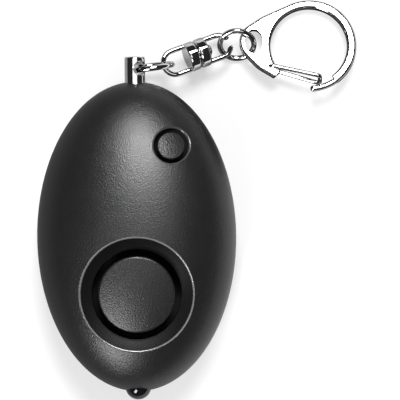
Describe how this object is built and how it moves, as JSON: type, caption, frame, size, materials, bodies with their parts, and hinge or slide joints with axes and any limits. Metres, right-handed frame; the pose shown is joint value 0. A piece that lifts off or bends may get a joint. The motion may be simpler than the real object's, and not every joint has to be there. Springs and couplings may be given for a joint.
{
  "type": "personal safety alarm",
  "caption": "Egg-shaped personal alarm with a pull pin, sounder, lamp, light button and a swivel chain with a gated snap hook.",
  "frame": {"origin": "centre of the flat rest face on the back of the housing", "axes": "+Z out of the front face, +Y from the lamp to the pull pin along the longest side, +X to the right seen from the front"},
  "size_m": [0.0625, 0.0773, 0.022],
  "materials": {
    "shell_plastic": "fine satin texture",
    "button_plastic": "satin",
    "screw_steel": "black zinc",
    "piezo_brass": "rolled",
    "piezo_white": "fired ceramic",
    "inner_plastic": "moulded",
    "board_green": "solder mask",
    "plunger_plastic": "moulded",
    "coil_ferrite": "ferrite",
    "chip_black": "moulded",
    "capacitor_can": "drawn can",
    "lamp_clear": "clear moulded lens that looks dark",
    "lead_tin": "tinned",
    "lead_wire": "insulated wire",
    "spring_metal": "nickel plated",
    "cell_steel": "drawn steel",
    "chain_chrome": "polished",
    "gate_steel": "polished wire"
  },
  "bodies": {
    "housing": {"alarm_chip": "chip_black", "battery_contact_minus": "spring_metal", "battery_contact_plus": "spring_metal", "boost_coil": "coil_ferrite", "button_cell_1": "cell_steel", "button_cell_2": "cell_steel", "button_cell_3": "cell_steel", "capacitor": "capacitor_can", "cell_holder": "inner_plastic", "cell_link_high": "spring_metal", "cell_link_low": "spring_metal", "circuit_board": "board_green", "driver_transistor": "chip_black", "front_shell": "shell_plastic", "lamp_leads": "lead_tin", "lamp_lens": "lamp_clear", "piezo_ceramic": "piezo_white", "piezo_leads": "lead_wire", "piezo_plate": "piezo_brass", "piezo_ring": "inner_plastic", "pin_contact_block": "inner_plastic", "pin_contact_fixed": "spring_metal", "pin_contact_spring": "spring_metal", "rear_shell": "shell_plastic", "shell_screws": "screw_steel", "sounder_bezel": "shell_plastic", "sounder_cap": "shell_plastic", "switch_body": "inner_plastic"},
    "button": {"light_button": "button_plastic", "switch_plunger": "plunger_plastic"},
    "pin": {"pull_pin": "chain_chrome"},
    "ring": {"pin_ring": "chain_chrome"},
    "near_eye": {"swivel_near_eye": "chain_chrome", "swivel_rivet": "chain_chrome"},
    "far_eye": {"swivel_far_eye": "chain_chrome"},
    "link": {"connector_ring": "chain_chrome"},
    "hook": {"snap_hook": "chain_chrome"},
    "gate": {"hook_gate": "gate_steel"}
  },
  "joints": [
    {"name": "pin_pull", "type": "slide", "parent": "housing", "child": "pin", "axis": [0, 1, 0], "range_m": [0, 0.018]},
    {"name": "pin_ring_swing", "type": "hinge", "parent": "pin", "child": "ring", "pos_m": [0, 0.0325, 0.01], "axis": [0.6018, 0, 0.7986], "range_deg": [-12, 120]},
    {"name": "swivel_pitch", "type": "hinge", "parent": "ring", "child": "near_eye", "pos_m": [0.00554, 0.03329, 0.00615], "axis": [-0.342, 0.9397, 0], "range_deg": [-10, 10]},
    {"name": "swivel_spin", "type": "hinge", "parent": "near_eye", "child": "far_eye", "pos_m": [0.01206, 0.03529, 0.00454], "axis": [0.9145, 0.3328, -0.23], "continuous": true},
    {"name": "connector_swing", "type": "hinge", "parent": "far_eye", "child": "link", "pos_m": [0.01846, 0.03762, 0.00293], "axis": [-0.3921, 0.8694, -0.3007], "range_deg": [-6, 6]},
    {"name": "hook_swing", "type": "hinge", "parent": "link", "child": "hook", "pos_m": [0.02322, 0.0372, 0.0027], "axis": [0, 0.788, 0.6157], "range_deg": [-6, 6]},
    {"name": "gate_open", "type": "hinge", "parent": "hook", "child": "gate", "pos_m": [0.0264, 0.03269, 0.0038], "axis": [0, 0.2079, 0.9781], "range_deg": [0, 35], "stiffness_Nm_per_rad": 0.01, "springref_deg": -5.73},
    {"name": "light_button_press", "type": "slide", "parent": "housing", "child": "button", "axis": [0, 0, -1], "range_m": [0, 0.0005], "stiffness_N_per_m": 600, "springref_m": -0.0003}
  ]
}
